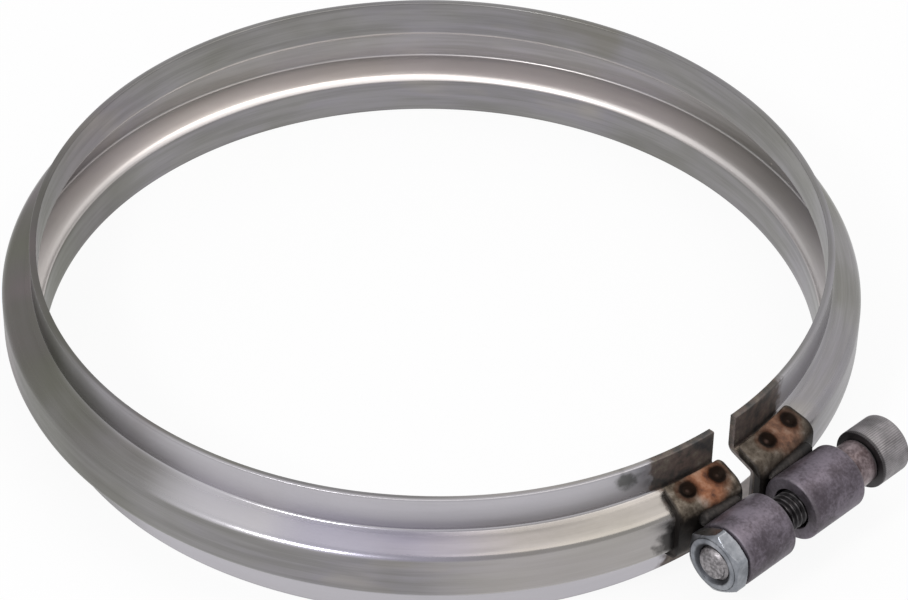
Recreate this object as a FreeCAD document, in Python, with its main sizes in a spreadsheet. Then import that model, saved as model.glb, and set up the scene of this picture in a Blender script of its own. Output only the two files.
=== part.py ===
"""V band clamp: a one-piece V-section retainer ring drawn together by one bolt.

The ring lies round +Z with its centre at the origin, half way between its two lips.  Its gap
and the closing bolt are on +X, and the bolt's axis runs along Y: nut at -Y, head at +Y.
Every length is in millimetres and every angle in degrees.
"""
import FreeCAD, Part
import os
import Sketcher

# --------------------------------------------------------------------------------------------
# Driving sizes: alias, value
# --------------------------------------------------------------------------------------------
SIZES = [
    # ring, all on its outside faces
    ("band_radius", 94.0),
    ("band_width", 31.0),
    ("web_width", 10.0),
    ("flank_depth", 6.5),
    ("flank_angle", 20.0),
    ("band_sheet", 1.5),
    ("band_bend", 0.6),
    ("nut_side_gap", 5.0),
    ("head_side_gap", 1.5),
    # pressed saddle bracket on each end of the ring
    ("bracket_sheet", 1.5),
    ("bracket_seat", 0.05),
    ("nut_side_bracket_arc", 9.8),
    ("head_side_bracket_arc", 11.5),
    ("bracket_overhang", 0.4),
    ("bracket_lip_gap", 0.9),
    ("spot_diameter", 3.6),
    ("spot_depth", 0.5),
    ("spot_pitch", 8.0),
    ("nut_side_spot_shift", -0.8),
    ("head_side_spot_shift", 1.9),
    # sleeve welded on each bracket
    ("sleeve_wall", 2.75),
    ("sleeve_clearance", 0.5),
    ("nut_side_sleeve_length", 13.5),
    ("head_side_sleeve_length", 15.0),
    ("nut_side_sleeve_start", 4.0),
    ("head_side_sleeve_start", 2.5),
    ("sleeve_seat", 0.25),
    ("sleeve_chamfer", 0.6),
    ("weld_width", 8.0),
    ("weld_end", 1.0),
    # socket head cap screw
    ("bolt_diameter", 8.0),
    ("bolt_length", 46.2),
    ("thread_relief", 0.05),
    ("thread_length", 28.0),
    ("thread_end", 1.0),
    ("head_diameter", 13.2),
    ("head_height", 8.4),
    ("head_chamfer", 0.9),
    ("socket_flats", 6.0),
    ("socket_depth", 4.5),
    # collar under the head
    ("collar_wall", 0.8),
    ("collar_length", 6.6),
    ("collar_clearance", 0.2),
    ("collar_round", 0.6),
    # hexagon nut
    ("nut_flats", 13.0),
    ("nut_height", 4.0),
    ("nut_clearance", 0.05),
    ("nut_face", 11.8),
    ("nut_chamfer_angle", 30.0),
    ("nut_countersink", 0.7),
    ("nut_turn", 30.0),
    # end float of the pieces stacked on the bolt
    ("end_float", 0.05),
]

# Expressions that several pieces share
FLANK_TAN = "tan(Sizes.flank_angle * 1deg)"
FLANK_COS = "cos(Sizes.flank_angle * 1deg)"
FLANK_SIN = "sin(Sizes.flank_angle * 1deg)"
CORNER = f"((1 - {FLANK_SIN}) / {FLANK_COS})"
LIP_RADIUS = "(Sizes.band_radius - Sizes.flank_depth)"
SEAT_RADIUS = "(Sizes.band_radius + Sizes.bracket_seat)"
BRACKET_RADIUS = f"({SEAT_RADIUS} + Sizes.bracket_sheet)"
BRACKET_TOP = f"({LIP_RADIUS} + Sizes.bracket_lip_gap)"
SLEEVE_BORE = "(Sizes.bolt_diameter + 2 * Sizes.sleeve_clearance)"
SLEEVE_DIAMETER = f"({SLEEVE_BORE} + 2 * Sizes.sleeve_wall)"
THREAD_DIAMETER = "(Sizes.bolt_diameter - 2 * Sizes.thread_relief)"
NUT_BORE = f"({THREAD_DIAMETER} + 2 * Sizes.nut_clearance)"
COLLAR_BORE = "(Sizes.bolt_diameter + 2 * Sizes.collar_clearance)"
COLLAR_DIAMETER = f"({COLLAR_BORE} + 2 * Sizes.collar_wall)"
BOLT_X = f"({BRACKET_RADIUS} + Sizes.sleeve_seat + {SLEEVE_DIAMETER} / 2)"
NUT_SEAT = "(Sizes.nut_side_sleeve_start + Sizes.nut_side_sleeve_length + Sizes.end_float)"
COLLAR_SEAT = "(Sizes.head_side_sleeve_start + Sizes.head_side_sleeve_length + Sizes.end_float)"
HEAD_SEAT = f"({COLLAR_SEAT} + Sizes.collar_length)"

doc = FreeCAD.newDocument("VBandClamp")
sheet = doc.addObject("Spreadsheet::Sheet", "Sizes")
for row, (alias, size) in enumerate(SIZES, start=1):
    sheet.set(f"A{row}", alias)
    sheet.set(f"B{row}", str(size))
    sheet.setAlias(f"B{row}", alias)
doc.recompute()


# --------------------------------------------------------------------------------------------
# Small helpers
# --------------------------------------------------------------------------------------------
def number(expression):
    """The present value of an expression over the sheet, as a plain number."""
    found = sheet.evalExpression(expression.replace("Sizes.", ""))
    return float(getattr(found, "Value", found))


def new_body(name):
    """An empty body whose label is the node's name."""
    body = doc.addObject("PartDesign::Body", name)
    body.Label = name
    return body


def plane(body, role):
    """One of the body's own origin planes, such as XY_Plane."""
    return next(item for item in body.Origin.OriginFeatures if item.Role == role)


def new_sketch(body, name, role, offset="0"):
    """A sketch on an origin plane, moved along the plane's normal by an expression."""
    sketch = body.newObject("Sketcher::SketchObject", name)
    sketch.AttachmentSupport = [(plane(body, role), "")]
    sketch.MapMode = "FlatFace"
    if offset != "0":
        sketch.setExpression("AttachmentOffset.Base.z", offset)
    doc.recompute()
    return sketch


def tie(sketch, kind, item, end, expression):
    """Hold one point's distance from the sketch's origin to an expression."""
    axis = {"DistanceX": -2, "DistanceY": -1}[kind]
    if expression == "0":
        sketch.addConstraint(Sketcher.Constraint("PointOnObject", item, end, axis))
        return
    index = sketch.addConstraint(
        Sketcher.Constraint(kind, -1, 1, item, end, number(expression)))
    sketch.setExpression(f"Constraints[{index}]", expression)


def outline(sketch, corners):
    """A closed straight-sided outline; each corner is a pair of expressions."""
    points = [FreeCAD.Vector(number(x), number(y), 0) for x, y in corners]
    first = sketch.GeometryCount
    count = len(points)
    for step in range(count):
        line = Part.LineSegment(points[step], points[(step + 1) % count])
        sketch.addGeometry(line, False)
    for step in range(count):
        here = first + step
        following = first + (step + 1) % count
        sketch.addConstraint(Sketcher.Constraint("Coincident", here, 2, following, 1))
    for step, (x, y) in enumerate(corners):
        tie(sketch, "DistanceX", first + step, 1, x)
        tie(sketch, "DistanceY", first + step, 1, y)


def circle(sketch, diameter):
    """A circle round the sketch's origin."""
    size = number(diameter)
    item = sketch.addGeometry(
        Part.Circle(FreeCAD.Vector(0, 0, 0), FreeCAD.Vector(0, 0, 1), size / 2), False)
    sketch.addConstraint(Sketcher.Constraint("Coincident", item, 3, -1, 1))
    index = sketch.addConstraint(Sketcher.Constraint("Diameter", item, size))
    sketch.setExpression(f"Constraints[{index}]", diameter)


def hexagon(sketch, flats):
    """A regular hexagon round the sketch's origin with two flats parallel to the x axis."""
    half = f"({flats}) / 2"
    side = f"({flats}) / 2 * tan(30deg)"
    corner = f"({flats}) / 2 / cos(30deg)"
    outline(sketch, [
        (side, half),
        (f"-({side})", half),
        (f"-({corner})", "0"),
        (f"-({side})", f"-({half})"),
        (side, f"-({half})"),
        (corner, "0"),
    ])


def pad(body, name, sketch, length):
    """A pad that reaches half its length to each side of its sketch."""
    feature = body.newObject("PartDesign::Pad", name)
    feature.Profile = sketch
    feature.setExpression("Length", length)
    feature.Midplane = True
    doc.recompute()
    return feature


def pocket(body, name, sketch, length):
    """A pocket that reaches half its length to each side of its sketch."""
    before = body.Shape.Volume
    feature = body.newObject("PartDesign::Pocket", name)
    feature.Profile = sketch
    feature.setExpression("Length", length)
    feature.Midplane = True
    doc.recompute()
    if not feature.Shape.Volume < before:
        raise RuntimeError(f"{name} cut nothing")
    return feature


def turn(body, name, sketch, angle="360"):
    """A revolution about the sketch's own vertical axis, half the angle to each side."""
    feature = body.newObject("PartDesign::Revolution", name)
    feature.Profile = sketch
    feature.ReferenceAxis = (sketch, ["V_Axis"])
    if angle == "360":
        feature.Angle = 360
    else:
        feature.Midplane = True
        feature.setExpression("Angle", angle)
    doc.recompute()
    return feature


def groove(body, name, sketch):
    """A full groove about the sketch's own vertical axis."""
    before = body.Shape.Volume
    feature = body.newObject("PartDesign::Groove", name)
    feature.Profile = sketch
    feature.ReferenceAxis = (sketch, ["V_Axis"])
    feature.Angle = 360
    doc.recompute()
    if not feature.Shape.Volume < before:
        raise RuntimeError(f"{name} cut nothing")
    return feature


def dress(body, kind, name, base, edges, size):
    """A fillet or chamfer of one size on some edges of the last feature."""
    feature = body.newObject(f"PartDesign::{kind}", name)
    feature.Base = (base, edges)
    feature.setExpression({"Fillet": "Radius", "Chamfer": "Size"}[kind], size)
    doc.recompute()
    return feature


def ring_edges(feature, corners):
    """Edges that run round +Z at the given pairs of radius and height."""
    wanted = [(number(radius), number(height)) for radius, height in corners]
    names = []
    for index, edge in enumerate(feature.Shape.Edges, start=1):
        if not isinstance(edge.Curve, Part.Circle):
            continue
        if abs(edge.Curve.Axis.z) < 0.999:
            continue
        place = (edge.Curve.Radius, edge.Curve.Center.z)
        if any(abs(place[0] - r) < 1e-4 and abs(place[1] - z) < 1e-4 for r, z in wanted):
            names.append(f"Edge{index}")
    return names


def end_edges(feature, diameter, place=None):
    """Circular edges of one diameter about an axis along Y, or only the one at y = place."""
    radius = number(diameter) / 2
    names = []
    for index, edge in enumerate(feature.Shape.Edges, start=1):
        if not isinstance(edge.Curve, Part.Circle):
            continue
        if abs(edge.Curve.Axis.y) < 0.999 or abs(edge.Curve.Radius - radius) > 1e-4:
            continue
        if place is None or abs(edge.Curve.Center.y - number(place)) < 1e-4:
            names.append(f"Edge{index}")
    return names


def both(corners):
    """The given corners and their mirror images below the mid-plane."""
    return corners + [(radius, f"-({height})") for radius, height in corners]


# --------------------------------------------------------------------------------------------
# Ring
# --------------------------------------------------------------------------------------------
def build_band():
    """The retainer: a web at the largest radius, two steep flanks and two straight lips.

    One strip of sheet is rolled to this section and closed into a ring, so the wall has one
    thickness and every bend has a common centre for its two faces.
    """
    body = new_body("v_band")
    web = ("Sizes.band_radius", "Sizes.web_width / 2")
    lip_z = f"Sizes.web_width / 2 + Sizes.flank_depth * {FLANK_TAN}"
    lip = (LIP_RADIUS, lip_z)
    inner_step = f"Sizes.band_sheet * {CORNER}"
    inner_web = ("Sizes.band_radius - Sizes.band_sheet", f"Sizes.web_width / 2 - {inner_step}")
    inner_lip = (f"{LIP_RADIUS} - Sizes.band_sheet", f"{lip_z} - {inner_step}")
    edge = (LIP_RADIUS, "Sizes.band_width / 2")
    inner_edge = (f"{LIP_RADIUS} - Sizes.band_sheet", "Sizes.band_width / 2")
    upper = [edge, lip, web]
    lower = [(radius, f"-({height})") for radius, height in reversed(upper)]
    inner_lower = [(inner_edge[0], f"-({inner_edge[1]})"),
                   (inner_lip[0], f"-({inner_lip[1]})"),
                   (inner_web[0], f"-({inner_web[1]})")]
    inner_upper = [inner_web, inner_lip, inner_edge]

    section = new_sketch(body, "BandSection", "XZ_Plane")
    outline(section, upper + lower + inner_lower + inner_upper)
    ring = turn(body, "BandRing", section)
    tight = dress(body, "Fillet", "BandTightBends", ring,
                  ring_edges(ring, both([lip, inner_web])), "Sizes.band_bend")
    dress(body, "Fillet", "BandWideBends", tight,
                 ring_edges(tight, both([web, inner_lip])),
                 "Sizes.band_bend + Sizes.band_sheet")

    slot = new_sketch(body, "BandGapSection", "XY_Plane")
    start = f"{LIP_RADIUS} - 2 * Sizes.band_sheet"
    reach = "Sizes.band_radius + Sizes.band_sheet"
    outline(slot, [
        (start, "-(Sizes.nut_side_gap)"),
        (reach, "-(Sizes.nut_side_gap)"),
        (reach, "Sizes.head_side_gap"),
        (start, "Sizes.head_side_gap"),
    ])
    pocket(body, "BandGap", slot, "2 * Sizes.band_width")
    return body


# --------------------------------------------------------------------------------------------
# Brackets
# --------------------------------------------------------------------------------------------
def build_bracket(side_name, side):
    """A pressed saddle over the web and both flanks, held by two spot welds on each flank.

    It is drawn across the XZ plane and then swung round the ring to its own end of the gap.
    """
    name = f"{side_name}_bracket"
    arc = f"Sizes.{name}_arc"
    start = f"(Sizes.{side_name}_gap - Sizes.bracket_overhang)"
    body = new_body(name)
    drop = f"({SEAT_RADIUS} - {BRACKET_TOP}) * {FLANK_TAN}"
    seat_z = f"(Sizes.web_width / 2 + Sizes.bracket_seat * {CORNER})"
    face_z = f"({seat_z} + Sizes.bracket_sheet * {CORNER})"
    thickness = f"Sizes.bracket_sheet / {FLANK_COS}"
    seat_corner = (SEAT_RADIUS, seat_z)
    face_corner = (BRACKET_RADIUS, face_z)
    seat_top = (BRACKET_TOP, f"{seat_z} + {drop}")
    face_top = (BRACKET_TOP, f"{seat_z} + {drop} + {thickness}")
    upper = [seat_corner, seat_top, face_top, face_corner]
    lower = [(radius, f"-({height})") for radius, height in reversed(upper)]

    section = new_sketch(body, f"{name}_section", "XZ_Plane")
    outline(section, upper + lower)
    saddle = turn(body, f"{name}_saddle", section, arc)
    inner_round = "Sizes.band_bend + Sizes.band_sheet + Sizes.bracket_seat"
    seat = dress(body, "Fillet", f"{name}_seat_bends", saddle,
                 ring_edges(saddle, both([seat_corner])), inner_round)
    face = dress(body, "Fillet", f"{name}_face_bends", seat,
                 ring_edges(seat, both([face_corner])),
                 f"{inner_round} + Sizes.bracket_sheet")

    # spot welds: shallow round dimples at mid-flank, half a pitch to each side of a middle
    # that lies a little way from the saddle's own, away from the gap
    ball = "((Sizes.spot_diameter ^ 2 / 4 + Sizes.spot_depth ^ 2) / (2 * Sizes.spot_depth))"
    lift = f"({ball} - Sizes.spot_depth)"
    middle = f"(({BRACKET_TOP} + {BRACKET_RADIUS}) / 2 - Sizes.bracket_sheet / 2)"
    middle_z = f"({seat_z} + ({SEAT_RADIUS} - {middle}) * {FLANK_TAN} + {thickness})"
    radius = f"({middle} + {lift} * {FLANK_SIN})"
    height = f"({middle_z} + {lift} * {FLANK_COS})"
    shift = f"({side}) * Sizes.{side_name}_spot_shift"
    dimples = []
    before = body.Shape.Volume
    for number_on_flank, sign in enumerate((-1, 1), start=1):
        dimple = body.newObject("PartDesign::SubtractiveSphere",
                                f"{name}_spot_{number_on_flank}")
        swing = (f"(({sign}) * Sizes.spot_pitch / 2 + {shift}) / {middle}"
                 " * 180 / pi * 1deg")
        dimple.setExpression("Radius", ball)
        dimple.setExpression("Placement.Base.x", f"{radius} * cos({swing})")
        dimple.setExpression("Placement.Base.y", f"{radius} * sin({swing})")
        dimple.setExpression("Placement.Base.z", height)
        doc.recompute()
        dimples.append(dimple)
    mirror = body.newObject("PartDesign::Mirrored", f"{name}_lower_spots")
    mirror.Originals = dimples
    mirror.MirrorPlane = (plane(body, "XY_Plane"), [""])
    body.Tip = mirror
    doc.recompute()
    if not body.Shape.Volume < before:
        raise RuntimeError(f"{name} has no spot welds")

    body.Placement.Rotation = FreeCAD.Rotation(FreeCAD.Vector(0, 0, 1), 0)
    body.setExpression("Placement.Rotation.Angle",
                       f"{side} * (asin({start} / {BRACKET_RADIUS}) + {arc} / 2 * 1deg)")
    return body


# --------------------------------------------------------------------------------------------
# Sleeves
# --------------------------------------------------------------------------------------------
def build_sleeve(side_name, side):
    """A thick tube along the bolt with the weld that stands it on its bracket.

    The weld is a straight-sided foot under the tube, cut to the bracket's curve, and lies
    only where the ring is under it.  The sleeve's own frame has the bolt's axis at x = 0.
    """
    name = f"{side_name}_sleeve"
    length = f"Sizes.{name}_length"
    start = f"Sizes.{name}_start"
    end = f"({start} + {length})"
    body = new_body(name)
    tube_section = new_sketch(body, f"{name}_section", "XZ_Plane",
                              f"-({side}) * ({start} + {length} / 2)")
    circle(tube_section, SLEEVE_DIAMETER)
    tube = pad(body, f"{name}_tube", tube_section, length)
    rims = end_edges(tube, SLEEVE_DIAMETER)
    dress(body, "Chamfer", f"{name}_rims", tube, rims, "Sizes.sleeve_chamfer")

    foot_start = f"(max({start}; Sizes.{side_name}_gap) + Sizes.weld_end)"
    foot_end = f"({end} - Sizes.weld_end)"
    foot_section = new_sketch(body, f"{name}_foot_section", "XZ_Plane",
                              f"-({side}) * ({foot_start} + {foot_end}) / 2")
    root = f"-({SLEEVE_DIAMETER} / 2 + Sizes.sleeve_seat + Sizes.bracket_sheet)"
    inside = f"-({SLEEVE_BORE} / 4)"
    outline(foot_section, [
        (root, "-(Sizes.weld_width / 2)"),
        (inside, "-(Sizes.weld_width / 2)"),
        (inside, "Sizes.weld_width / 2"),
        (root, "Sizes.weld_width / 2"),
    ])
    pad(body, f"{name}_foot", foot_section, f"{foot_end} - {foot_start}")

    before = body.Shape.Volume
    clearance = body.newObject("PartDesign::SubtractiveCylinder", f"{name}_bracket_curve")
    clearance.setExpression("Radius", f"{BRACKET_RADIUS} + Sizes.bracket_seat")
    clearance.setExpression("Height", "2 * Sizes.band_width")
    clearance.setExpression("Placement.Base.x", f"-{BOLT_X}")
    clearance.setExpression("Placement.Base.z", "-Sizes.band_width")
    doc.recompute()
    if not body.Shape.Volume < before:
        raise RuntimeError(f"{name} does not follow its bracket")

    bore_section = new_sketch(body, f"{name}_bore_section", "XZ_Plane")
    circle(bore_section, SLEEVE_BORE)
    pocket(body, f"{name}_bore", bore_section, f"4 * {end}")
    body.setExpression("Placement.Base.x", BOLT_X)
    return body


# --------------------------------------------------------------------------------------------
# Bolt, collar and nut
# --------------------------------------------------------------------------------------------
def build_bolt():
    """A cap screw: its head's seat is at y = 0 of its own frame and its thread points to -Y."""
    body = new_body("clamp_bolt")
    shank = "Sizes.bolt_diameter / 2"
    thread = f"{THREAD_DIAMETER} / 2"
    end = "-(Sizes.bolt_length)"
    start = "-(Sizes.bolt_length - Sizes.thread_length)"
    head = "Sizes.head_diameter / 2"
    profile = new_sketch(body, "BoltProfile", "XY_Plane")
    outline(profile, [
        ("0", end),
        (f"{thread} - Sizes.thread_end", end),
        (thread, f"{end} + Sizes.thread_end"),
        (thread, start),
        (shank, start),
        (shank, "-(Sizes.end_float)"),
        (head, "-(Sizes.end_float)"),
        (head, "Sizes.head_height - Sizes.head_chamfer"),
        (f"{head} - Sizes.head_chamfer", "Sizes.head_height"),
        ("0", "Sizes.head_height"),
    ])
    turn(body, "BoltTurned", profile)
    socket = new_sketch(body, "SocketSection", "XZ_Plane", "-(Sizes.head_height)")
    hexagon(socket, "Sizes.socket_flats")
    pocket(body, "Socket", socket, "2 * Sizes.socket_depth")
    body.setExpression("Placement.Base.x", BOLT_X)
    body.setExpression("Placement.Base.y", f"{HEAD_SEAT} + 2 * Sizes.end_float")
    return body


def build_collar():
    """A plain turned collar between the head and the sleeve, rounded at the head's side."""
    body = new_body("bolt_collar")
    section = new_sketch(body, "CollarSection", "XZ_Plane")
    circle(section, COLLAR_DIAMETER)
    tube = pad(body, "CollarTube", section, "Sizes.collar_length")
    rim = end_edges(tube, COLLAR_DIAMETER, "Sizes.collar_length / 2")
    dress(body, "Fillet", "CollarRound", tube, rim, "Sizes.collar_round")
    bore = new_sketch(body, "CollarBoreSection", "XZ_Plane")
    circle(bore, COLLAR_BORE)
    pocket(body, "CollarBore", bore, "2 * Sizes.collar_length")
    body.setExpression("Placement.Base.x", BOLT_X)
    body.setExpression("Placement.Base.y",
                       f"{COLLAR_SEAT} + Sizes.collar_length / 2")
    return body


def build_nut():
    """A hexagon nut with both ends turned to a cone and its bore countersunk."""
    body = new_body("clamp_nut")
    section = new_sketch(body, "NutSection", "XZ_Plane")
    hexagon(section, "Sizes.nut_flats")
    pad(body, "NutPrism", section, "Sizes.nut_height")

    slope = "tan(Sizes.nut_chamfer_angle * 1deg)"
    face = "Sizes.nut_face / 2"
    beyond = "Sizes.nut_flats"
    depth = f"({beyond} - {face}) * {slope}"
    for name, sign in (("NutOuterCone", "-1"), ("NutInnerCone", "1")):
        corner = new_sketch(body, f"{name}Section", "XY_Plane")
        outline(corner, [
            (face, f"{sign} * Sizes.nut_height / 2"),
            (beyond, f"{sign} * (Sizes.nut_height / 2 - {depth})"),
            (beyond, f"{sign} * Sizes.nut_height / 2"),
        ])
        groove(body, name, corner)

    bore = new_sketch(body, "NutBoreSection", "XZ_Plane")
    circle(bore, NUT_BORE)
    hole = pocket(body, "NutBore", bore, "2 * Sizes.nut_height")
    mouths = end_edges(hole, NUT_BORE)
    dress(body, "Chamfer", "NutCountersinks", hole, mouths, "Sizes.nut_countersink")
    body.Placement.Rotation = FreeCAD.Rotation(FreeCAD.Vector(0, 1, 0), 0)
    body.setExpression("Placement.Rotation.Angle", "Sizes.nut_turn * 1deg")
    body.setExpression("Placement.Base.x", BOLT_X)
    body.setExpression("Placement.Base.y",
                       f"-({NUT_SEAT} + Sizes.nut_height / 2)")
    return body


# --------------------------------------------------------------------------------------------
# The whole clamp
# --------------------------------------------------------------------------------------------
nodes = [
    build_band(),
    build_bracket("nut_side", -1),
    build_bracket("head_side", 1),
    build_sleeve("nut_side", -1),
    build_sleeve("head_side", 1),
    build_bolt(),
    build_collar(),
    build_nut(),
]
doc.recompute()

for item in doc.Objects:
    if "Invalid" in item.State or "Error" in item.State:
        raise RuntimeError(f"{item.Name} is {item.State}")
for node in nodes:
    if node.Shape.isNull() or not node.Shape.isValid():
        raise RuntimeError(f"{node.Label} has no valid shape")

os.makedirs("parts", exist_ok=True)
for node in nodes:
    node.Shape.exportStep(f"parts/{node.Label}.step")
    print(node.Label, len(node.Shape.Solids), "solid,", round(node.Shape.Volume, 1), "mm3")
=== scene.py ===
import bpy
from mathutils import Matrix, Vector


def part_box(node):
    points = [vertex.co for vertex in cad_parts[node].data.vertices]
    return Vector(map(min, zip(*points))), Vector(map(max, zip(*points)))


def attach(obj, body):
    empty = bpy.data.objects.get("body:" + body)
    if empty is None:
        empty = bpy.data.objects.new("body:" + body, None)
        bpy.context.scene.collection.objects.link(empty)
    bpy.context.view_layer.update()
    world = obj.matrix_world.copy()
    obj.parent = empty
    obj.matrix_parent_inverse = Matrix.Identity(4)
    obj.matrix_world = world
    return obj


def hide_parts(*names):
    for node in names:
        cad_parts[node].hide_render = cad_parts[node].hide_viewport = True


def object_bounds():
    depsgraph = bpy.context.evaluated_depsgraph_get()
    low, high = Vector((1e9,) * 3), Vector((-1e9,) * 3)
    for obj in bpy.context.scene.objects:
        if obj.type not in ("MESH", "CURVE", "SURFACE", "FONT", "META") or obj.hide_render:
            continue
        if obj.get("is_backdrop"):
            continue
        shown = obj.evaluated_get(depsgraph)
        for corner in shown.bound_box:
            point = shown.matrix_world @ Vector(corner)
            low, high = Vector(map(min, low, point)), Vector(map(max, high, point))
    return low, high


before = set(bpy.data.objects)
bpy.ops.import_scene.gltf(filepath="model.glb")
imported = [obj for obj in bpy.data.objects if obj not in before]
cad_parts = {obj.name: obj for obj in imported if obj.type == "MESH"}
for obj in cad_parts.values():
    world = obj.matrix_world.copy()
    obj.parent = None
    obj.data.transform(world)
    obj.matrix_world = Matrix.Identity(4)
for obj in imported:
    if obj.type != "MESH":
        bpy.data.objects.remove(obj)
cad_low, cad_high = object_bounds()

# %% [markdown]
# # A V band clamp, piece by piece
#
# The clamp joins two coned duct flanges.  Its ring is one strip of stainless sheet with a V
# section that opens inwards.  Two pressed saddles are spot welded on the ring's ends, a thick
# sleeve is welded on each saddle, and one cap screw and nut draw the sleeves together.
#
# The packed model is a fixed frame: it already has every piece at its true size, and its
# joints.  Here each piece gets the rounded edges, dimples, threads and weld ripples that
# light needs, as a surface worked out with numpy, and a finish made of shader nodes.

# %% Common tools and units
import math

import bpy
import numpy as np
from mathutils import Matrix, Vector

MM = 0.001
DEGREE = math.pi / 180


def low_high(node):
    """Two arrays: a CAD node's lowest and highest corner, in metres."""
    low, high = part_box(node)
    return np.array(low), np.array(high)


def near_far(node):
    """Distances along y from the closure's middle to the near and far ends of a piece."""
    low, high = low_high(node)
    return np.sort(abs(np.array([low[1], high[1]])))


band_low, band_high = low_high("v_band")
print("ring is %.1f mm wide" % ((band_high[2] - band_low[2]) / MM))

# %% [markdown]
# ## Sizes
#
# A designer's drawing gives a few driving sizes and everything else follows.  The overall
# ones are read from the frame, so the pieces land exactly on the model.  Those that no box
# can give, such as the sheet's thickness or a bend's radius, are named once here.

# %% Driving sizes
SIDES = {"nut_side": -1, "head_side": 1}
BAND_HALF_WIDTH = band_high[2]
BAND_RADIUS = -band_low[0]
WEB_HALF = 5.0 * MM
FLANK_DEPTH = 6.5 * MM
FLANK_ANGLE = 20.0 * DEGREE
SHEET = 1.5 * MM
BEND = 0.6 * MM
HALF_GAP = {"nut_side": 5.0 * MM, "head_side": 1.5 * MM}
LIP_RADIUS = BAND_RADIUS - FLANK_DEPTH
# how far a corner moves towards the mid-plane when the flank moves in by one
CORNER = (1 - math.sin(FLANK_ANGLE)) / math.cos(FLANK_ANGLE)

SEAT = 0.05 * MM
BRACKET_SHEET = 1.5 * MM
BRACKET_TOP = LIP_RADIUS + 0.9 * MM
BRACKET_RADIUS = BAND_RADIUS + SEAT + BRACKET_SHEET
SPOT_RADIUS = 1.8 * MM
SPOT_PITCH = 8.0 * MM
SPOT_SHIFT = {"nut_side": 0.8 * MM, "head_side": 1.9 * MM}

_, sleeve_high = low_high("nut_side_sleeve")
BOLT_X = sleeve_high[0] - sleeve_high[2]
SLEEVE_RADIUS = sleeve_high[2]
SLEEVE_BORE = 4.5 * MM
THREAD_PITCH = 1.25 * MM
print("bolt axis at x = %.2f mm, sleeve radius %.2f mm" % (BOLT_X / MM, SLEEVE_RADIUS / MM))

# %% [markdown]
# ## Surfaces from grids
#
# Every piece below is a grid of points: rows along it and columns round it.  One function
# turns such a grid into a closed mesh.  Faces are index arithmetic on whole arrays, and the
# signed volume says whether they point outwards, so no shape can end up inside out.

# %% From a grid of points to a mesh
SHARP = 38.0 * DEGREE


def signed_volume(points, faces):
    """Volume inside closed faces: a sixth of the sum of a . (b x c) over their triangles."""
    first = points[faces[:, 0]]
    total = 0.0
    for step in range(1, faces.shape[1] - 1):
        cross = np.cross(points[faces[:, step]], points[faces[:, step + 1]])
        total += np.einsum("ij,ij->i", first, cross).sum() / 6
    return total


def grid_faces(rows, columns, closed_rows):
    """Four-cornered faces between neighbouring rows and columns; columns always close."""
    row = np.arange(rows if closed_rows else rows - 1)
    column = np.arange(columns)
    here = row[:, None] * columns + column[None, :]
    right = row[:, None] * columns + (column[None, :] + 1) % columns
    below = ((row[:, None] + 1) % rows) * columns + column[None, :]
    below_right = ((row[:, None] + 1) % rows) * columns + (column[None, :] + 1) % columns
    return np.stack([here, right, below_right, below], axis=-1).reshape(-1, 4)


def in_scene(name, data):
    """A new object with this mesh, lamp or camera, in the scene."""
    thing = bpy.data.objects.new(name, data)
    bpy.context.scene.collection.objects.link(thing)
    return thing


def build(name, grid, closed_rows=False):
    """Mesh object from grid[row, column]; open rows get a flat end at the first and last."""
    rows, columns, _ = grid.shape
    points = grid.reshape(-1, 3)
    faces = grid_faces(rows, columns, closed_rows)
    volume = signed_volume(points, faces)
    ends = []
    if not closed_rows:
        ends = [np.arange(columns)[::-1], np.arange(columns) + (rows - 1) * columns]
        volume += sum(signed_volume(points, end[None, :]) for end in ends)
    if volume < 0:
        faces = faces[:, ::-1]
        ends = [end[::-1] for end in ends]
    mesh = bpy.data.meshes.new(name)
    mesh.from_pydata(points.tolist(), [], faces.tolist() + [end.tolist() for end in ends])
    mesh.polygons.foreach_set("use_smooth", np.ones(len(mesh.polygons), dtype=bool))
    mesh.set_sharp_from_angle(angle=SHARP)
    mesh.validate()
    print("%s: %d faces, %.1f mm3" % (name, len(mesh.polygons), abs(volume) / MM ** 3))
    return in_scene(name, mesh)


print("a grid of 3 rows and 4 columns has", len(grid_faces(3, 4, False)), "faces")

# %% [markdown]
# ## Outlines
#
# Sheet metal and turned parts have no knife edges.  An outline is written as a few corners,
# each with the radius of its arc, and the arc's points come from one formula for all corners
# at once.  Long straight runs can be divided, where a surface needs points to be shaped.

# %% Rounded outlines
def unit(vectors):
    """Vectors scaled to length one."""
    return vectors / np.linalg.norm(vectors, axis=-1, keepdims=True)


def rounded(corners, radii, closed=True, steps=7):
    """Corners joined by straight lines, each replaced by an arc of its own radius.

    With a and b the unit directions to the two neighbours and w the angle between them, the
    arc's centre lies r / sin(w / 2) along the bisector, and its points swing evenly from
    r / tan(w / 2) along a to as much along b.
    """
    corners = np.asarray(corners, dtype=float)
    radii = np.broadcast_to(np.asarray(radii, dtype=float), (len(corners),))
    if closed:
        around = np.vstack([corners[-1], corners, corners[0]])
        radius = radii[:, None]
    else:
        around = corners
        radius = radii[1:-1, None]
    middle = around[1:-1]
    a = unit(around[:-2] - middle)
    b = unit(around[2:] - middle)
    wedge = np.arccos(np.clip((a * b).sum(axis=1, keepdims=True), -1, 1))
    centre = middle + unit(a + b) * radius / np.sin(wedge / 2)
    reach = radius / np.tan(wedge / 2)
    first = middle + a * reach - centre
    last = middle + b * reach - centre
    swing = (math.pi - wedge)[:, None]
    share = np.linspace(0, 1, steps)[None, :, None]
    arcs = (centre[:, None]
            + first[:, None] * np.sin((1 - share) * swing) / np.sin(swing)
            + last[:, None] * np.sin(share * swing) / np.sin(swing)).reshape(-1, 2)
    return arcs if closed else np.vstack([corners[0], arcs, corners[-1]])


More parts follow.
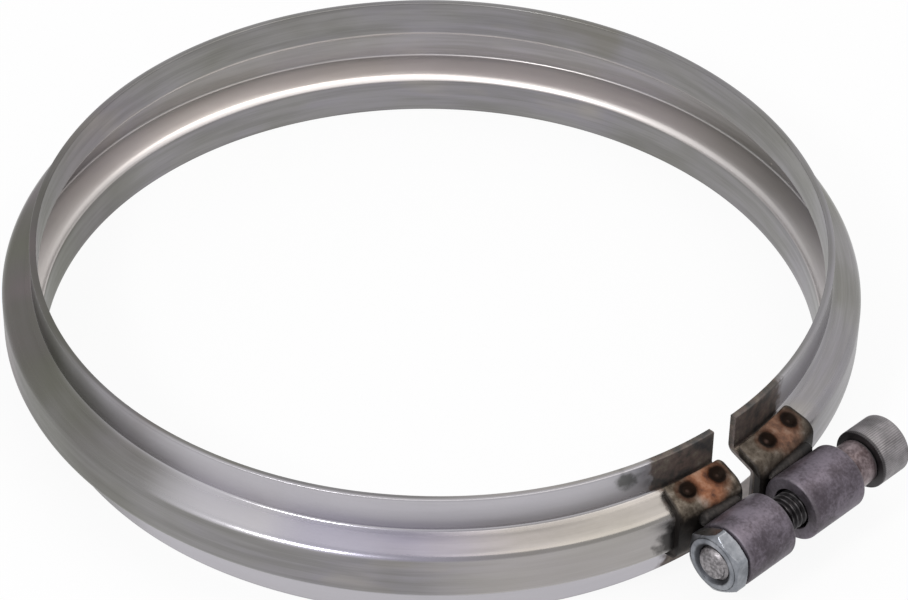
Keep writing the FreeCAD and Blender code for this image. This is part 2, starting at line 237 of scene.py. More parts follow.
def divided(outline, longest):
    """A closed outline with even points added on every run longer than the given length."""
    following = np.roll(outline, -1, axis=0)
    gaps = np.linalg.norm(following - outline, axis=1)
    parts = np.maximum(1, np.ceil(gaps / longest).astype(int))
    index = np.repeat(np.arange(len(outline)), parts)
    first = np.repeat(np.cumsum(parts) - parts, parts)
    share = ((np.arange(len(index)) - first) / parts[index])[:, None]
    return outline[index] + (following[index] - outline[index]) * share


def smooth(value):
    """0 below 0, 1 above 1 and an even S between: 3 v^2 - 2 v^3."""
    value = np.clip(value, 0, 1)
    return value * value * (3 - 2 * value)


square = rounded([(0, 0), (1, 0), (1, 1), (0, 1)], 0.2)
print("a rounded square has", len(square), "points")

# %% [markdown]
# ## The ring
#
# The section has a web at the largest radius, two flanks at 20 degrees from square and two
# straight lips.  A sweep or a lathe could carry it round, but both ends of the ring are cut
# parallel to each other, across the bolt.  So the angle at which each point of the section
# starts and stops depends on its own radius: the arcsine of the cut's distance over it.

# %% Ring
RING_ROWS = 420
EDGE_ROUND = 0.22 * MM
RING_RUN = 1.2 * MM
WAVE = 0.028 * MM
FADE = 0.08


def mirrored(corners):
    """The corners and then their images below the mid-plane, in reverse order."""
    return corners + [(radius, -height) for radius, height in reversed(corners)]


def section(outer, outer_radii, inner, inner_radii, run):
    """Closed outline from the upper corners and bend radii of its outer and inner face."""
    corners = mirrored(outer) + mirrored(inner)[::-1]
    radii = outer_radii + outer_radii[::-1] + inner_radii + inner_radii[::-1]
    return divided(rounded(corners, radii), run)


def round_z(radius, angle, height):
    """Points at a radius and an angle round +Z, and a height."""
    return np.stack([radius * np.cos(angle), radius * np.sin(angle),
                     np.broadcast_to(height, angle.shape)], axis=-1)


def ring_outline():
    """Closed section (radius, height): outer faces down, then inner faces back up.

    The inner corners lie one sheet inside; on a flank that leans at angle f, a step of one
    sheet moves a corner by sheet * (1 - sin f) / cos f towards the mid-plane.
    """
    step = SHEET * CORNER
    lip = WEB_HALF + FLANK_DEPTH * math.tan(FLANK_ANGLE)
    outer = [(LIP_RADIUS, BAND_HALF_WIDTH), (LIP_RADIUS, lip), (BAND_RADIUS, WEB_HALF)]
    inner = [(LIP_RADIUS - SHEET, BAND_HALF_WIDTH), (LIP_RADIUS - SHEET, lip - step),
             (BAND_RADIUS - SHEET, WEB_HALF - step)]
    return section(outer, [EDGE_ROUND, BEND, BEND + SHEET],
                   inner, [EDGE_ROUND, BEND + SHEET, BEND], RING_RUN)


def ring_grid():
    """The section carried round +Z between the two cuts, with a shallow unevenness.

    Angle = start + share * (stop - start), both from the arcsine of cut / radius.  The
    radius loses up to 0.1 mm in slow waves, as a rolled strip does, and none at its ends.
    """
    radius, height = ring_outline().T
    share = np.linspace(0, 1, RING_ROWS)[:, None]
    start = np.arcsin(HALF_GAP["head_side"] / radius)
    stop = 2 * math.pi - np.arcsin(HALF_GAP["nut_side"] / radius)
    angle = start + share * (stop - start)
    away = smooth((0.5 - np.abs(share - 0.5)) / FADE - 0.5)
    waves = 2 + np.sin(5 * angle + 0.7) + 0.6 * np.sin(13 * angle + 260 * height + 2.1)
    return round_z(radius - WAVE * away * waves, angle, height)


ring = build("ring_strip", ring_grid())

# %% [markdown]
# ## The saddle brackets
#
# Each is a short piece of the same V, one sheet further out.  Pressing rounds its outer
# corners, and each spot weld leaves a round crater with a low rim and a small raised middle.
# A boolean could cut the craters, but moving the points along the flank's own direction keeps
# one clean grid, so that the rims shade smoothly.

# %% Saddle section and spot welds
BRACKET_ROWS = 72
BRACKET_RUN = 0.32 * MM
CORNER_ROUND = 1.6 * MM
CRATER_DEPTH = 0.50 * MM
RIM_HEIGHT = 0.10 * MM
NUB_HEIGHT = 0.14 * MM


def bracket_outline():
    """Closed section: the seat on the ring, then the outer face, each one sheet apart."""
    seat_radius = BAND_RADIUS + SEAT
    seat_height = WEB_HALF + SEAT * CORNER
    face_height = seat_height + BRACKET_SHEET * CORNER
    top = seat_height + (seat_radius - BRACKET_TOP) * math.tan(FLANK_ANGLE)
    thickness = BRACKET_SHEET / math.cos(FLANK_ANGLE)
    seat = [(BRACKET_TOP, top), (seat_radius, seat_height)]
    face = [(BRACKET_TOP, top + thickness), (BRACKET_RADIUS, face_height)]
    bend = BEND + SHEET + SEAT
    return section(face, [0.35 * MM, bend + BRACKET_SHEET], seat, [0.2 * MM, bend], BRACKET_RUN)


def spot_centres(span, shift):
    """Middles of the two upper spot welds, on the flank's face, and the flank's direction.

    They lie half a pitch to each side of the saddle's middle angle, after a small shift
    towards the screw's head.
    """
    radius = (BRACKET_TOP + BRACKET_RADIUS) / 2 - BRACKET_SHEET / 2
    height = (WEB_HALF + SEAT * CORNER + BRACKET_SHEET / math.cos(FLANK_ANGLE)
              + (BAND_RADIUS + SEAT - radius) * math.tan(FLANK_ANGLE))
    middle = sum(span) / 2 + shift / radius
    angles = middle + np.array([-0.5, 0.5]) * SPOT_PITCH / radius
    normals = round_z(math.sin(FLANK_ANGLE), angles, math.cos(FLANK_ANGLE))
    return round_z(radius, angles, height), normals


def spot_height(distance):
    """Crater of one spot weld: a smooth dish, a low rim round it and a raised middle."""
    dish = -CRATER_DEPTH * smooth((SPOT_RADIUS - distance) / (0.55 * SPOT_RADIUS))
    rim = RIM_HEIGHT * np.exp(-((distance - SPOT_RADIUS * 1.08) / (0.3 * MM)) ** 2)
    nub = NUB_HEIGHT * np.exp(-(distance / (0.55 * MM)) ** 2)
    return dish + rim + nub


print("spot welds are %.1f mm across and %.1f mm deep" % (2 * SPOT_RADIUS / MM, CRATER_DEPTH / MM))

# %% [markdown]
# The section is carried between two angles, which come from the bracket's CAD box: sin of an
# angle is the distance from the closure's middle over the radius.

# %% Brackets
def bracket_grid(span, shift):
    """The saddle's section carried between two angles, with rounded corners and spot welds.

    Near the top edge each end is drawn in by c - sqrt(c^2 - (c - h)^2), where c is the
    corner's radius and h the height above the edge.  A crater moves points by its own height
    along the flank's direction.
    """
    radius, height = bracket_outline().T
    share = np.linspace(0, 1, BRACKET_ROWS)[:, None]
    near_top = np.clip(radius - BRACKET_TOP, 0, CORNER_ROUND)
    inset = CORNER_ROUND - np.sqrt(CORNER_ROUND ** 2 - (CORNER_ROUND - near_top) ** 2)
    start = span[0] + inset / radius
    stop = span[1] - inset / radius
    angle = start + share * (stop - start)
    points = round_z(radius, angle, height)
    centres, normals = spot_centres(span, shift)
    flip = np.array([1.0, 1.0, -1.0])
    for side in (np.ones(3), flip):
        for centre, normal in zip(centres * side, normals * side):
            offset = points - centre
            along = (offset * normal).sum(axis=-1)
            across = np.linalg.norm(offset - along[..., None] * normal, axis=-1)
            on_face = along > -0.5 * BRACKET_SHEET
            points = points + normal * (on_face * spot_height(across))[..., None]
    return points


brackets = {}
bracket_spans = {}
for side_name, side in SIDES.items():
    span = np.sort(side * np.arcsin(near_far(side_name + "_bracket") / BRACKET_RADIUS))
    bracket_spans[side_name] = span
    brackets[side_name] = build(side_name + "_saddle",
                                bracket_grid(span, SPOT_SHIFT[side_name]))
    print(side_name, "saddle spans %.1f to %.1f degrees" % tuple(span / DEGREE))

# %% [markdown]
# ## Sleeves and collar
#
# Turned parts: a closed outline of distance along the bolt and radius, carried round the
# bolt's axis.  The outer rims have a broken edge, as they come off the lathe.

# %% Turned pieces
ROUND_STEPS = 112
BORE_ROUND = 0.3 * MM
SLEEVE_ROUND = 0.55 * MM
COLLAR_BORE = 4.2 * MM


def round_bolt(along, radius, turn):
    """Points round the bolt's axis: (BOLT_X + r sin t, y, r cos t)."""
    return np.stack([BOLT_X + radius * np.sin(turn), along + 0 * turn,
                     radius * np.cos(turn)], axis=-1)


def full_turn(steps):
    """Even angles round a full turn."""
    return np.linspace(0, 2 * math.pi, steps, endpoint=False)


def turned(outline):
    """Outline (along y, radius) carried round the bolt's axis."""
    along, radius = outline.T
    return round_bolt(along, radius, full_turn(ROUND_STEPS)[:, None])


def tube_outline(start, stop, outside, bore, start_round, stop_round):
    """Closed outline of a tube whose two outer rims have radii of their own."""
    corners = [(start, outside), (stop, outside), (stop, bore), (start, bore)]
    radii = [start_round, stop_round, BORE_ROUND, BORE_ROUND]
    return rounded(corners, radii)


sleeves = {}
for side_name in SIDES:
    low, high = low_high(side_name + "_sleeve")
    outline = tube_outline(low[1], high[1], SLEEVE_RADIUS, SLEEVE_BORE,
                           SLEEVE_ROUND, SLEEVE_ROUND)
    sleeves[side_name] = build(side_name + "_tube", turned(outline), closed_rows=True)

collar_low, collar_high = low_high("bolt_collar")
collar_outline = tube_outline(collar_low[1], collar_high[1], collar_high[2], COLLAR_BORE,
                              0.2 * MM, 0.6 * MM)
collar = build("collar_turned", turned(collar_outline), closed_rows=True)

# %% [markdown]
# ## Weld beads
#
# A bead of weld fills the wedge between sleeve and saddle, above and below.  It freezes in
# small overlapping pools, so its radius rises and falls in scallops along its length.  It is
# a tube round a path, and the path follows the saddle, which curves away from the sleeve.

# %% Weld beads
BEAD_ROWS = 90
BEAD_STEPS = 28
POOL = 1.9 * MM
BEAD_HEIGHT = 3.5 * MM
BEAD_SEAT = 0.5 * MM
BEAD_LEAN = 0.25 * MM


def bead_grid(start, stop, side):
    """Tube along y between the saddle's face and the sleeve, with scalloped pools.

    The saddle's face is at x = sqrt(R^2 - y^2), the sleeve's at BOLT_X - sqrt(r^2 - z^2); the
    bead's centre lies half way and its radius is half their distance plus a seat.
    """
    along = np.linspace(start, stop, BEAD_ROWS)
    saddle = np.sqrt(BRACKET_RADIUS ** 2 - along ** 2)
    tube = BOLT_X - math.sqrt(SLEEVE_RADIUS ** 2 - BEAD_HEIGHT ** 2)
    centre = (saddle + tube) / 2
    end_fade = np.sqrt(np.clip(1 - np.abs(np.linspace(-1, 1, BEAD_ROWS)) ** 8, 0.02, 1))
    pools = 1 + 0.04 * np.abs(np.sin(math.pi * along / POOL))
    radius = ((tube - saddle) / 2 + BEAD_SEAT) * end_fade * pools
    turn = full_turn(BEAD_STEPS)
    lean = BEAD_LEAN * np.cos(turn)
    return np.stack([centre[:, None] + radius[:, None] * np.sin(turn),
                     along[:, None] + lean,
                     side * (BEAD_HEIGHT + radius[:, None] * np.cos(turn))], axis=-1)


beads = {}
for side_name, side in SIDES.items():
    near, far = near_far(side_name + "_sleeve")
    near = max(near, HALF_GAP[side_name])
    for level, sign in (("upper", 1), ("lower", -1)):
        name = "%s_%s_weld" % (side_name, level)
        beads[name] = build(name, bead_grid(side * (near + MM), side * (far - MM), sign))

# %% [markdown]
# ## The cap screw
#
# Head, shank, thread and point are one surface.  Its rows run from the point to the bottom
# of the socket.  Each row has a radius, and two switches say whether it takes the thread's
# groove and whether it is a hexagon, as the socket's rows are.

# %% Cap screw
bolt_low, bolt_high = low_high("clamp_bolt")
collar_end = collar_high[1]
HEAD_RADIUS = bolt_high[2]
SHANK_RADIUS = 4.0 * MM
THREAD_RADIUS = 3.95 * MM
THREAD_LENGTH = 28.0 * MM
THREAD_DEPTH = 0.68 * MM
SOCKET_FLATS = 6.0 * MM
SOCKET_DEPTH = 4.5 * MM
SOCKET_RIM = 1.25 * SOCKET_FLATS / 2
END_FLOAT = 0.05 * MM
ROWS_PER_PITCH = 9


def hexagon_radius(turn, flats):
    """Distance from the middle to a hexagon's side: half the flats over cos of the angle
    to the nearest flat's middle."""
    nearest = (turn + math.pi / 6) % (math.pi / 3) - math.pi / 6
    return flats / 2 / np.cos(nearest)


def thread_groove(along, turn):
    """Depth of a right-hand V thread, 0 at the crest and 1 at the root.

    The phase is along / pitch - turn / (2 pi), so a crest climbs one pitch in a turn.
    """
    phase = (along / THREAD_PITCH - turn / (2 * math.pi)) % 1
    return smooth(1.25 - np.abs(phase - 0.5) * 2 / 0.8)


def bolt_grid():
    """Rows from the point to the socket's floor, each a circle, a thread or a hexagon."""
    tip = bolt_low[1]
    seat = collar_end + END_FLOAT
    far = bolt_high[1]
    thread_end = tip + THREAD_LENGTH
    thread_rows = np.arange(tip + 0.15 * MM, thread_end, THREAD_PITCH / ROWS_PER_PITCH)
    cone = THREAD_RADIUS - MM + (thread_rows - tip)
    head = rounded([(seat, SHANK_RADIUS), (seat, HEAD_RADIUS), (far, HEAD_RADIUS),
                    (far, HEAD_RADIUS - 1.6 * MM)], [0, 0.35 * MM, 0.85 * MM, 0], closed=False)
    parts = [
        # along, radius, threaded or not, hexagonal or not
        ([tip, tip], [1.5 * MM, 2.75 * MM], 0, 0),
        (thread_rows, np.minimum(cone, THREAD_RADIUS), 1, 0),
        ([thread_end, thread_end + 0.4 * MM, seat - 0.3 * MM],
         [THREAD_RADIUS, SHANK_RADIUS, SHANK_RADIUS], 0, 0),
        (head[:, 0], head[:, 1], 0, 0),
        ([far], [SOCKET_RIM], 0, 0),
        ([far - 0.5 * MM, far - SOCKET_DEPTH, far - SOCKET_DEPTH],
         [SOCKET_FLATS / 2, SOCKET_FLATS / 2, SOCKET_FLATS / 4], 0, 1),
    ]
    rows = np.hstack([np.broadcast_arrays(*part) for part in parts])
    along, radius, threaded, hexed = rows[:, :, None]
    turn = full_turn(ROUND_STEPS + 8)[None, :]
    crest = THREAD_RADIUS - THREAD_DEPTH * thread_groove(along, turn)
    radius = np.where(threaded == 1, np.minimum(radius, crest), radius + 0 * turn)
    radius = np.where(hexed == 1, hexagon_radius(turn, 2 * radius), radius)
    return round_bolt(along, radius, turn)


bolt = build("cap_screw", bolt_grid())

# %% [markdown]
# ## The nut
#
# A hexagon prism whose two ends are turned to a shallow cone.  Where the cone meets a flat
# it leaves the curved line that every nut has.  No boolean is needed: at each angle the
# radius is the smaller of the hexagon's and the cone's.

# %% Nut
nut_low, nut_high = low_high("clamp_nut")
NUT_FLATS = nut_high[0] - nut_low[0]
NUT_FACE = 5.9 * MM
NUT_BORE = 4.0 * MM
NUT_MOUTH = 4.7 * MM
NUT_SINK = 0.7 * MM
NUT_EDGE = 0.12 * MM
NUT_BLUNT = 0.18 * MM
NUT_STEPS = 144
CONE_SLOPE = math.tan(60 * DEGREE)


def nut_grid():
    """Closed rows: along the outside, then over the far face, the bore and the near face."""
    start, stop = nut_low[1], nut_high[1]
    middle, half = (start + stop) / 2, (stop - start) / 2
    side = np.sin(np.linspace(-90, 90, 41) * DEGREE)
    along = middle + side * (half - NUT_EDGE * (np.abs(side) > 0.999))
    cone = NUT_FACE + (half - np.abs(along - middle)) * CONE_SLOPE
    inner_along = np.array([stop, stop, stop - NUT_SINK, start + NUT_SINK, start, start])
    inner_radius = np.array([NUT_FACE - NUT_EDGE, NUT_MOUTH, NUT_BORE,
                             NUT_BORE, NUT_MOUTH, NUT_FACE - NUT_EDGE])
    turn = full_turn(NUT_STEPS)[None, :]
    blunt = NUT_FLATS / 2 / math.cos(math.pi / 6) - NUT_BLUNT
    hexagon = np.minimum(hexagon_radius(turn + math.pi / 6, NUT_FLATS), blunt)
    outside = np.minimum(cone[:, None], hexagon)
    radius = np.vstack([outside, inner_radius[:, None] + 0 * turn])
    return round_bolt(np.concatenate([along, inner_along])[:, None], radius, turn)


nut = build("hexagon_nut", nut_grid(), closed_rows=True)

# %% [markdown]
# ## Which piece rides on what
#
# The ring, its saddles, sleeves and welds are one body.  The screw turns with its collar, and
# the nut travels along the thread.  Each piece stands for the CAD node that it was shaped on.

# %% Bodies, nodes and material slots
riding = [
    (ring, "ring", "v_band", "band_steel"),
    (brackets["nut_side"], "ring", "nut_side_bracket", "heat_tinted_steel"),
    (brackets["head_side"], "ring", "head_side_bracket", "heat_tinted_steel"),
    (sleeves["nut_side"], "ring", "nut_side_sleeve", "phosphated_steel"),
    (sleeves["head_side"], "ring", "head_side_sleeve", "phosphated_steel"),
    (bolt, "bolt", "clamp_bolt", "screw_steel"),
    (collar, "bolt", "bolt_collar", "phosphated_steel"),
    (nut, "nut", "clamp_nut", "zinc_steel"),
]
for piece, body, node, slot in riding:
    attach(piece, body)
    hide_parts(node)
for bead in beads.values():
    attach(bead, "ring")

# %% [markdown]
# ## Shader maths in plain Python
#
# A pattern is arithmetic on numbers that change over the surface.  The class Wire wraps a
# socket so that ordinary operators add the Math nodes, and a formula reads as a formula.

# %% Sockets that do arithmetic
class Wire:
    """One output socket; arithmetic on it adds Math nodes to its graph."""

    def __init__(self, graph, socket):
        self.graph = graph
        self.socket = socket

    def maths(self, operation, first, second=0.0):
        """One Math node."""
        return self.graph.add("ShaderNodeMath", {"operation": operation},
                              {0: first, 1: second})

    def __add__(self, other):
        return self.maths("ADD", self, other)

    def __sub__(self, other):
        return self.maths("SUBTRACT", self, other)

    def __rsub__(self, other):
        return self.maths("SUBTRACT", other, self)

    def __mul__(self, other):
        return self.maths("MULTIPLY", self, other)

    def __truediv__(self, other):
        return self.maths("DIVIDE", self, other)

    def __abs__(self):
        return self.maths("ABSOLUTE", self)

    __radd__ = __add__
    __rmul__ = __mul__


print("arithmetic on wires:", [name for name in vars(Wire) if name.startswith("__r")])

# %% [markdown]
# A graph owns the nodes of one material.  Its methods add the few kinds of node that the
# finishes need, and each gives back a wire.

# %% Graphs of nodes
class Graph:
    """A material, or a world, and the nodes in it."""

    def __init__(self, name, world=False):
        self.owner = (bpy.data.worlds if world else bpy.data.materials).new(name)
        self.owner.use_nodes = True
        self.tree = self.owner.node_tree
        self.tree.nodes.clear()

    def add(self, kind, settings=None, inputs=None, output=0):
        """A node of one type: settings first, then values or wires into its sockets."""
        node = self.tree.nodes.new(kind)
        for name, value in (settings or {}).items():
            setattr(node, name, value)
        for key, value in (inputs or {}).items():
            if isinstance(value, Wire):
                self.tree.links.new(value.socket, node.inputs[key])
            else:
                node.inputs[key].default_value = value
        return Wire(self, node.outputs[output]) if node.outputs else None

    def coordinates(self):
        """Object coordinates, in metres."""
        return self.add("ShaderNodeTexCoord", output="Object")

    def parts(self, vector):
        """The x, y and z of a vector, each as a number."""
        first = self.add("ShaderNodeSeparateXYZ", inputs={0: vector})
        outputs = first.socket.node.outputs
        return [Wire(self, outputs[index]) for index in range(3)]

    def vector(self, x, y, z):
        """A vector made of three numbers."""
        return self.add("ShaderNodeCombineXYZ", inputs={0: x, 1: y, 2: z})

    def length(self, x, y):
        """The length sqrt(x^2 + y^2)."""
        return self.add("ShaderNodeVectorMath", {"operation": "LENGTH"},
                        {0: self.vector(x, y, 0.0)}, output=1)

    def angle(self, y, x):
        """The angle of the direction (x, y), from -pi to pi."""
        return y.maths("ARCTAN2", y, x)

    def noise(self, vector, scale, detail=4.0, roughness=0.55):
        """Soft noise about 0.5."""
        return self.add("ShaderNodeTexNoise", inputs={
            "Vector": vector, "Scale": scale, "Detail": detail, "Roughness": roughness})

    def step(self, value, low, high):
        """0 where value is below low, 1 above high, and smooth between; low may be larger."""
        return self.add("ShaderNodeMapRange", {"interpolation_type": "SMOOTHSTEP"},
                        {0: value, 1: low, 2: high, 3: 0.0, 4: 1.0})

    def clamped(self, value):
        """The value, kept between 0 and 1."""
        return self.add("ShaderNodeClamp", inputs={0: value, 1: 0.0, 2: 1.0})

    def mix(self, share, first, second):
        """Colour between two others."""
        first, second = [colour if isinstance(colour, Wire) else (*colour, 1.0)
                         for colour in (first, second)]
        return self.add("ShaderNodeMix", {"data_type": "RGBA"},
                        {0: share, 6: first, 7: second}, output=2)

    def ramp(self, value, stops):
        """Colour that runs through the stops, pairs of position and colour."""
        wire = self.add("ShaderNodeValToRGB", inputs={0: value})
        elements = wire.socket.node.color_ramp.elements
        while len(elements) < len(stops):
            elements.new(1.0)
        for element, (place, colour) in zip(elements, stops):
            element.position = place
            element.color = (*colour, 1.0)
        return wire

    def distance(self, vector, place):
        """Distance from a fixed place."""
        return self.add("ShaderNodeVectorMath", {"operation": "DISTANCE"},
                        {0: vector, 1: tuple(place)}, output=1)

    def bump(self, height, strength, distance, normal=None):
        """A normal tilted by a height, on top of another normal if there is one."""
        inputs = {"Height": height, "Strength": strength, "Distance": distance}
        if normal is not None:
            inputs["Normal"] = normal
        return self.add("ShaderNodeBump", inputs=inputs)

    def finish(self, **inputs):
        """Principled surface and output.  Underscores in names stand for spaces."""
        named = {key.replace("_", " "): value for key, value in inputs.items()}
        surface = self.add("ShaderNodeBsdfPrincipled", inputs=named)
        self.add("ShaderNodeOutputMaterial", inputs={"Surface": surface})
        return self.owner

    def showing(self):
        """1 for the rays that show a background: straight, off metal or through glass."""
        names = ("Is Camera Ray", "Is Glossy Ray", "Is Transmission Ray")
        camera, glossy, through = [self.add("ShaderNodeLightPath", output=name)
                                   for name in names]
        return self.clamped(camera + glossy + through)


def wear(piece, material):
    """Gives a piece its only material."""
    piece.data.materials.clear()
    piece.data.materials.append(material)


print("a graph can add", sum(not name.startswith("_") for name in vars(Graph)), "kinds of step")

# %% [markdown]
# ## Rolled stainless sheet
#
# The strip came through rolls, so fine streaks run round the ring and reflections are drawn
# out along them.  A noise is stretched by feeding it the unit direction round the ring, which
# changes slowly, and the height and radius, which change fast; a circle has no seam.  Over
# the streaks lie faint straw, grey and lavender tints.

# %% Colour of the strip
# directions out from the ring's centre, seen from above
OLIVE_SIDE = (-0.62, -0.78)
FRONT = (0.643, -0.766)
FRONT_LEFT = (0.407, -0.914)
BESIDE_NUT = (0.927, -0.375)
RIGHT = (0.707, 0.707)


def towards(way, around):
    """Cosine of the angle between a fixed direction and a place's direction round the ring."""
    return around[0] * way[0] + around[1] * way[1]


def drawn_out(graph, around, level, slow, fast):
    """Noise stretched round the ring; level is the height plus the radius."""
    return graph.noise(graph.vector(around[0] * slow, around[1] * slow, level * fast), 1.0, 3.0)


def rolled_colour(graph, around, level, streak, fine, patches):
    """Faint bands of tint, dark streaks, fine pale lines and a few olive stains."""
    colour = graph.ramp(drawn_out(graph, around, level, 2.2, 55.0), [
        (0.30, (0.211, 0.207, 0.189)),
        (0.45, (0.262, 0.254, 0.254)),
        (0.58, (0.274, 0.262, 0.284)),
        (0.72, (0.334, 0.312, 0.289)),
    ])
    colour = graph.mix(streak * 0.44, colour, (0.165, 0.161, 0.153))
    colour = graph.mix(graph.step(fine, 0.42, 0.66) * 0.16, colour, (0.370, 0.366, 0.365))
    stain = graph.step(patches, 0.60, 0.78)
    return graph.mix(stain * 0.50, colour, (0.189, 0.179, 0.140))


print("the olive side lies %.0f degrees round from the bolt"
      % (math.atan2(OLIVE_SIDE[1], OLIVE_SIDE[0]) / DEGREE))

# %% [markdown]
# ## Painted reflections, painted light in the V, and burnt places
#
# The ring isn't equally bright all round, and that light and shade is painted into its colour.
# A painted darker reflection, olive to brown, lies on the stretch far from the bolt; the front
# has painted highlights on its lips, a painted lavender reflection and a straw-coloured one
# beside the nut; and painted light brightens the faces inside the V, which the ring shades.
# Each is a mask, a number between 0 and 1, and masks are multiplied where both must hold.

# %% Masks and painted light
def section_masks(graph, radius, z):
    """Masks of the outer faces, of the faces inside the V, and of the lips.

    A point's height above the flank's outer face is 0 there and minus one sheet inside.
    """
    above = abs(z) + (radius - BAND_RADIUS) * math.tan(FLANK_ANGLE) - WEB_HALF
    outer = graph.step(radius, LIP_RADIUS - 0.9 * MM, LIP_RADIUS - 0.3 * MM)
    ground = graph.step(above, -0.7 * MM, -0.3 * MM) * outer
    inner = graph.step(radius, BAND_RADIUS - 0.6 * MM, BAND_RADIUS - 1.0 * MM)
    inside = graph.step(above, -0.6 * MM, -1.0 * MM) * inner
    return ground, inside, graph.step(abs(z), 7.0 * MM, 7.8 * MM)


def painted_dark_reflection(graph, colour, place, z, dark_reflection):
    """Painted darker reflection, olive to brown, a little denser on the lower lip."""
    hues = graph.ramp(graph.noise(place, 26.0, 2.0), [
        (0.36, (0.097, 0.097, 0.074)),
        (0.50, (0.103, 0.096, 0.086)),
        (0.62, (0.129, 0.103, 0.108)),
    ])
    dense = graph.step(z, -6.0 * MM, -8.0 * MM)
    return graph.mix(dark_reflection * (0.86 + dense * 0.12), colour, hues)


def painted_reflections(graph, colour, around, ground, lip, dark_reflection):
    """Painted highlights at the front, a painted lavender reflection, a painted straw one by the
    nut.
    """
    facing = towards(FRONT, around)
    front = graph.step(facing, 0.20, 0.70)
    corner = graph.step(towards(FRONT_LEFT, around), 0.945, 0.995)
    share = (lip * (0.22 + front * 0.58) + (1.0 - lip) * corner * 0.75) * (1.0 - dark_reflection)
    colour = graph.mix(ground * share, colour, (0.550, 0.533, 0.570))
    flank = ground * (1.0 - lip)
    lavender_reflection = graph.step(facing, 0.955, 0.990)
    straw_reflection = graph.step(towards(BESIDE_NUT, around), 0.895, 0.985)
    colour = graph.mix(flank * lavender_reflection * 0.5, colour, (0.266, 0.253, 0.350))
    colour = graph.mix(flank * straw_reflection * 0.6, colour, (0.225, 0.209, 0.193))
    return graph.mix((1.0 - ground) * straw_reflection * 0.45, colour, (0.519, 0.484, 0.467))


def painted_light_in_v(graph, colour, around, z, inside, lower):
    """Painted light on the faces inside the V: brightest below, fading to the right and left."""
    seat = 0.10 + graph.step(abs(z), 3.6 * MM, 4.6 * MM) * (0.15 + lower * 0.75)
    sideways = towards(RIGHT, around)
    back = (1.0 - graph.step(sideways, -0.30, 0.35) * 0.26
            - graph.step(sideways, 0.55, 0.95) * 0.44
            - graph.step(sideways, -0.55, -0.97) * 0.47)
    return graph.mix(inside * seat * back, colour, (0.950, 0.890, 0.870))


print("masks change within a sheet of %.1f mm" % (SHEET / MM))

# %% [markdown]
# Spot welding burnt a dark tint into the lips near the saddles.  The burnt mask is an angle
# from the bolt, made ragged with noise.  Two single marks, a smudge on the front lip and a
# painted shadow on the web where the nut-side saddle ends, are distances from a place.

# %% Burnt places
SMUDGE = (83.3 * MM, -26.7 * MM, 13.0 * MM)


def heat_mask(graph, x, y, patches, speck, lip, lower):
    """1 near the saddles, reaching furthest on the upper lip and on the nut's side."""
    degrees = abs(graph.angle(y, x)) / DEGREE
    ragged = degrees + (patches - 0.5) * 3.0 + (speck - 0.5) * 3.4
    head_side = graph.step(y, -MM, MM)
    spared = (1.0 - lip * (1.0 - lower) + lip * lower) * 1.8
    return graph.step(ragged + head_side * 3.2 + spared - 1.0, 14.2, 12.8)


def burns_and_saddle_shadow(graph, colour, place, share, speck):
    """Brown to black scale where share is 1, then the smudge and a painted shadow by the saddle."""
    scale = graph.ramp(graph.noise(place, 260.0, 5.0, 0.70), [
        (0.34, (0.011, 0.010, 0.009)),
        (0.45, (0.048, 0.040, 0.029)),
        (0.53, (0.091, 0.062, 0.049)),
        (0.61, (0.121, 0.099, 0.071)),
        (0.74, (0.217, 0.195, 0.174)),
    ])
    colour = graph.mix(share, colour, scale)
    smudge = graph.distance(place, SMUDGE) + (speck - 0.5) * (5.0 * MM)
    colour = graph.mix(graph.step(smudge, 3.4 * MM, 1.0 * MM) * 0.75, colour,
                       (0.048, 0.052, 0.041))
    # painted shadow on the web beside the end of the nut-side saddle
    end = bracket_spans["nut_side"][0]
    saddle_end = (BAND_RADIUS * math.cos(end), BAND_RADIUS * math.sin(end), -1.2 * MM)
    saddle_end_shadow = graph.distance(place, saddle_end) + (speck - 0.5) * (6.0 * MM)
    return graph.mix(graph.step(saddle_end_shadow, 5.6 * MM, 2.4 * MM) * 0.88, colour,
                     (0.014, 0.013, 0.012))


def burnished_bends(graph, radius, z):
    """The rolls burnish the two outer bends of each flank."""
    section = graph.vector(radius, abs(z), 0.0)
    upper = graph.distance(section, (LIP_RADIUS + 0.3 * MM, 7.3 * MM, 0.0))
    lower = graph.distance(section, (BAND_RADIUS - 0.7 * MM, 4.5 * MM, 0.0))
    return (graph.step(upper, 1.3 * MM, 0.6 * MM)
            + graph.step(lower, 1.7 * MM, 0.9 * MM))


print("smudge %.0f mm from the ring's middle" % (math.dist(SMUDGE, (0, 0, 0)) / MM))
